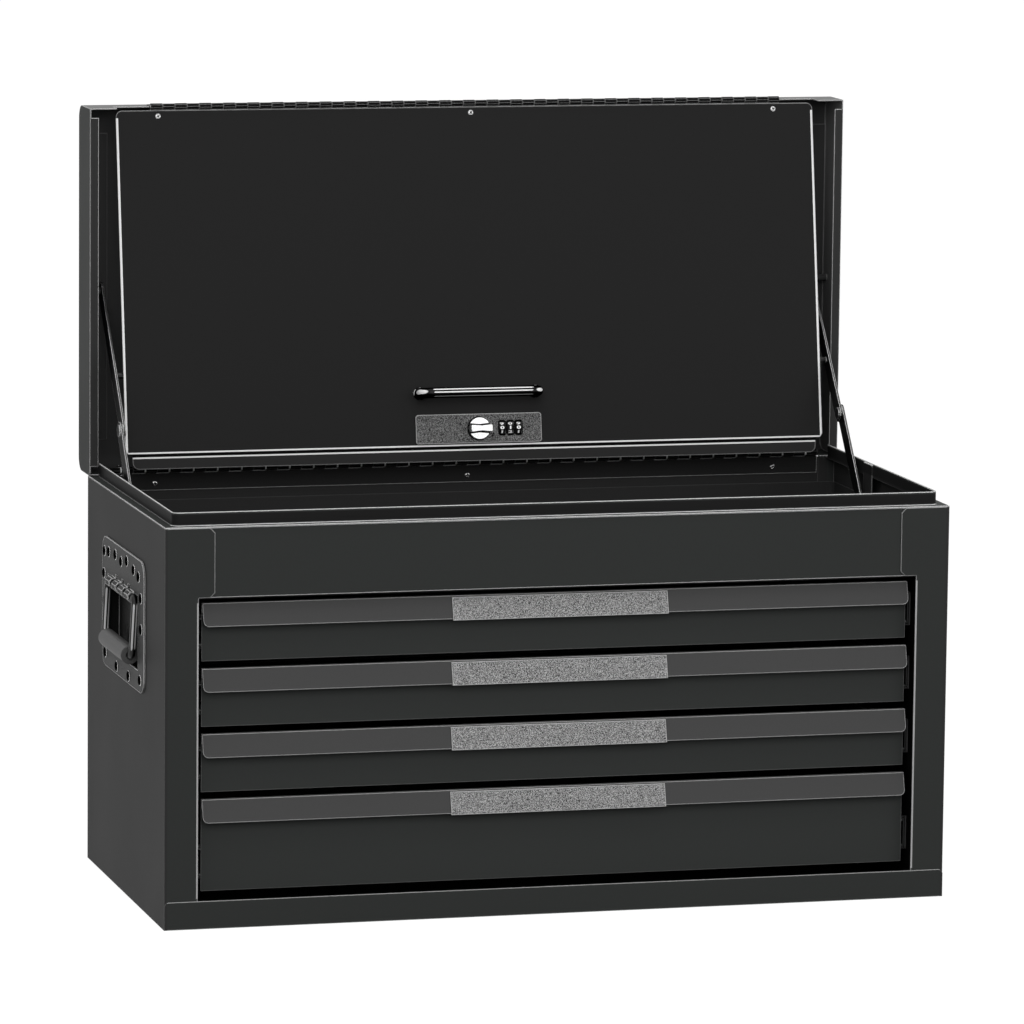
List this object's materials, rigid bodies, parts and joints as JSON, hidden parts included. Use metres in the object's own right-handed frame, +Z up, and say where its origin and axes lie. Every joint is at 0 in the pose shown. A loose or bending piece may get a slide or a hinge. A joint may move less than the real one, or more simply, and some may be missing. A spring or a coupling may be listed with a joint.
{
  "type": "machinist tool chest",
  "caption": "Top tool chest with slide-out drawers, a stayed lid, a front cover that folds into the lid, a cover lock and side handles.",
  "frame": {"origin": "middle of the flat base, on the surface the chest stands on", "axes": "+X to the right along the width, +Y to the back, +Z up"},
  "size_m": [0.6902, 0.3519, 0.645],
  "materials": {
    "black_powder": "satin",
    "zinc": "zinc plated",
    "rubber_grip": "matte",
    "dark_steel": "satin",
    "plate_grey": "fine speckle",
    "insert_grey": "fine speckle",
    "bright_chrome": "polished",
    "lock_grey": "fine speckle",
    "dial_black": "satin"
  },
  "bodies": {
    "cabinet": {"bottom_pan": "black_powder", "back_panel": "black_powder", "front_header": "black_powder", "top_rim": "black_powder", "compartment_pan": "black_powder", "back_hinge_body_leaf": "black_powder", "back_hinge_pin": "zinc", "side_panel_left": "black_powder", "side_panel_right": "black_powder", "slide_rack_left": "dark_steel", "slide_rack_right": "dark_steel", "handle_plate_left": "plate_grey", "handle_plate_right": "plate_grey"},
    "lid": {"lid_shell": "black_powder", "back_hinge_lid_leaf": "black_powder", "cover_hinge_lid_leaf": "black_powder", "cover_hinge_pin": "zinc"},
    "cover": {"cover_panel": "black_powder", "cover_hinge_cover_leaf": "black_powder", "cover_handle": "bright_chrome", "lock_plate": "lock_grey", "lock_case": "zinc"},
    "lock": {"lock_knob": "bright_chrome", "lock_cam": "zinc"},
    "dial_1": {"dial_wheel_1": "dial_black"},
    "dial_2": {"dial_wheel_2": "dial_black"},
    "dial_3": {"dial_wheel_3": "dial_black"},
    "lower_stay_left": {"stay_lower_left": "zinc"},
    "upper_stay_left": {"stay_upper_left": "zinc"},
    "side_bail_left": {"bail_left": "dark_steel", "bail_grip_left": "rubber_grip"},
    "lower_stay_right": {"stay_lower_right": "zinc"},
    "upper_stay_right": {"stay_upper_right": "zinc"},
    "side_bail_right": {"bail_right": "dark_steel", "bail_grip_right": "rubber_grip"},
    "drawer_1": {"drawer_1_tray": "black_powder", "drawer_1_pull": "black_powder", "drawer_1_grip_insert": "insert_grey"},
    "slides_1": {"drawer_1_slide_left": "dark_steel", "drawer_1_slide_right": "dark_steel"},
    "drawer_2": {"drawer_2_tray": "black_powder", "drawer_2_pull": "black_powder", "drawer_2_grip_insert": "insert_grey"},
    "slides_2": {"drawer_2_slide_left": "dark_steel", "drawer_2_slide_right": "dark_steel"},
    "drawer_3": {"drawer_3_tray": "black_powder", "drawer_3_pull": "black_powder", "drawer_3_grip_insert": "insert_grey"},
    "slides_3": {"drawer_3_slide_left": "dark_steel", "drawer_3_slide_right": "dark_steel"},
    "drawer_4": {"drawer_4_tray": "black_powder", "drawer_4_pull": "black_powder", "drawer_4_grip_insert": "insert_grey"},
    "slides_4": {"drawer_4_slide_left": "dark_steel", "drawer_4_slide_right": "dark_steel"}
  },
  "joints": [
    {"name": "lid_hinge", "type": "hinge", "parent": "cabinet", "child": "lid", "pos_m": [0, 0.1524, 0.334], "axis": [-1, 0, 0], "range_deg": [-90, 0]},
    {"name": "cover_hinge", "type": "hinge", "parent": "lid", "child": "cover", "pos_m": [0, 0.1624, 0.6424], "axis": [1, 0, 0], "range_deg": [-81, 0]},
    {"name": "lock_turn", "type": "hinge", "parent": "cover", "child": "lock", "pos_m": [0, 0.11879, 0.36703], "axis": [0, 0.9877, -0.1564], "range_deg": [-90, 0]},
    {"name": "dial_1_spin", "type": "hinge", "parent": "cover", "child": "dial_1", "pos_m": [0.0206, 0.12195, 0.36653], "axis": [1, 0, 0], "continuous": true},
    {"name": "dial_2_spin", "type": "hinge", "parent": "cover", "child": "dial_2", "pos_m": [0.0279, 0.12195, 0.36653], "axis": [1, 0, 0], "continuous": true},
    {"name": "dial_3_spin", "type": "hinge", "parent": "cover", "child": "dial_3", "pos_m": [0.0352, 0.12195, 0.36653], "axis": [1, 0, 0], "continuous": true},
    {"name": "lower_stay_left", "type": "hinge", "parent": "cabinet", "child": "lower_stay_left", "pos_m": [-0.3165, 0.033, 0.3], "axis": [1, 0, 0], "range_deg": [-48.84, 0]},
    {"name": "upper_stay_left", "type": "hinge", "parent": "lid", "child": "upper_stay_left", "pos_m": [-0.3165, 0.185, 0.484], "axis": [1, 0, 0], "range_deg": [0, 15.12]},
    {"name": "lower_stay_right", "type": "hinge", "parent": "cabinet", "child": "lower_stay_right", "pos_m": [0.3165, 0.033, 0.3], "axis": [1, 0, 0], "range_deg": [-48.84, 0]},
    {"name": "upper_stay_right", "type": "hinge", "parent": "lid", "child": "upper_stay_right", "pos_m": [0.3165, 0.185, 0.484], "axis": [1, 0, 0], "range_deg": [0, 15.12]},
    {"name": "drawer_1_slide", "type": "slide", "parent": "cabinet", "child": "drawer_1", "axis": [0, -1, 0], "range_m": [0, 0.24]},
    {"name": "slides_1_run", "type": "slide", "parent": "cabinet", "child": "slides_1", "axis": [0, -1, 0], "range_m": [0, 0.12]},
    {"name": "drawer_2_slide", "type": "slide", "parent": "cabinet", "child": "drawer_2", "axis": [0, -1, 0], "range_m": [0, 0.24]},
    {"name": "slides_2_run", "type": "slide", "parent": "cabinet", "child": "slides_2", "axis": [0, -1, 0], "range_m": [0, 0.12]},
    {"name": "drawer_3_slide", "type": "slide", "parent": "cabinet", "child": "drawer_3", "axis": [0, -1, 0], "range_m": [0, 0.24]},
    {"name": "slides_3_run", "type": "slide", "parent": "cabinet", "child": "slides_3", "axis": [0, -1, 0], "range_m": [0, 0.12]},
    {"name": "drawer_4_slide", "type": "slide", "parent": "cabinet", "child": "drawer_4", "axis": [0, -1, 0], "range_m": [0, 0.24]},
    {"name": "slides_4_run", "type": "slide", "parent": "cabinet", "child": "slides_4", "axis": [0, -1, 0], "range_m": [0, 0.12]},
    {"name": "bail_left_swing", "type": "hinge", "parent": "cabinet", "child": "side_bail_left", "pos_m": [-0.335, 0.0035, 0.2561], "axis": [0, 1, 0], "range_deg": [0, 85]},
    {"name": "bail_right_swing", "type": "hinge", "parent": "cabinet", "child": "side_bail_right", "pos_m": [0.335, 0.0035, 0.2561], "axis": [0, -1, 0], "range_deg": [0, 85]}
  ],
  "couplings": [
    {"joint": "lower_stay_left", "follows": "lid_hinge", "ratio": 0.53713},
    {"joint": "upper_stay_left", "follows": "lid_hinge", "ratio": -0.16241},
    {"joint": "lower_stay_right", "follows": "lid_hinge", "ratio": 0.53713},
    {"joint": "upper_stay_right", "follows": "lid_hinge", "ratio": -0.16241},
    {"joint": "slides_1_run", "follows": "drawer_1_slide", "ratio": 0.5},
    {"joint": "slides_2_run", "follows": "drawer_2_slide", "ratio": 0.5},
    {"joint": "slides_3_run", "follows": "drawer_3_slide", "ratio": 0.5},
    {"joint": "slides_4_run", "follows": "drawer_4_slide", "ratio": 0.5}
  ]
}
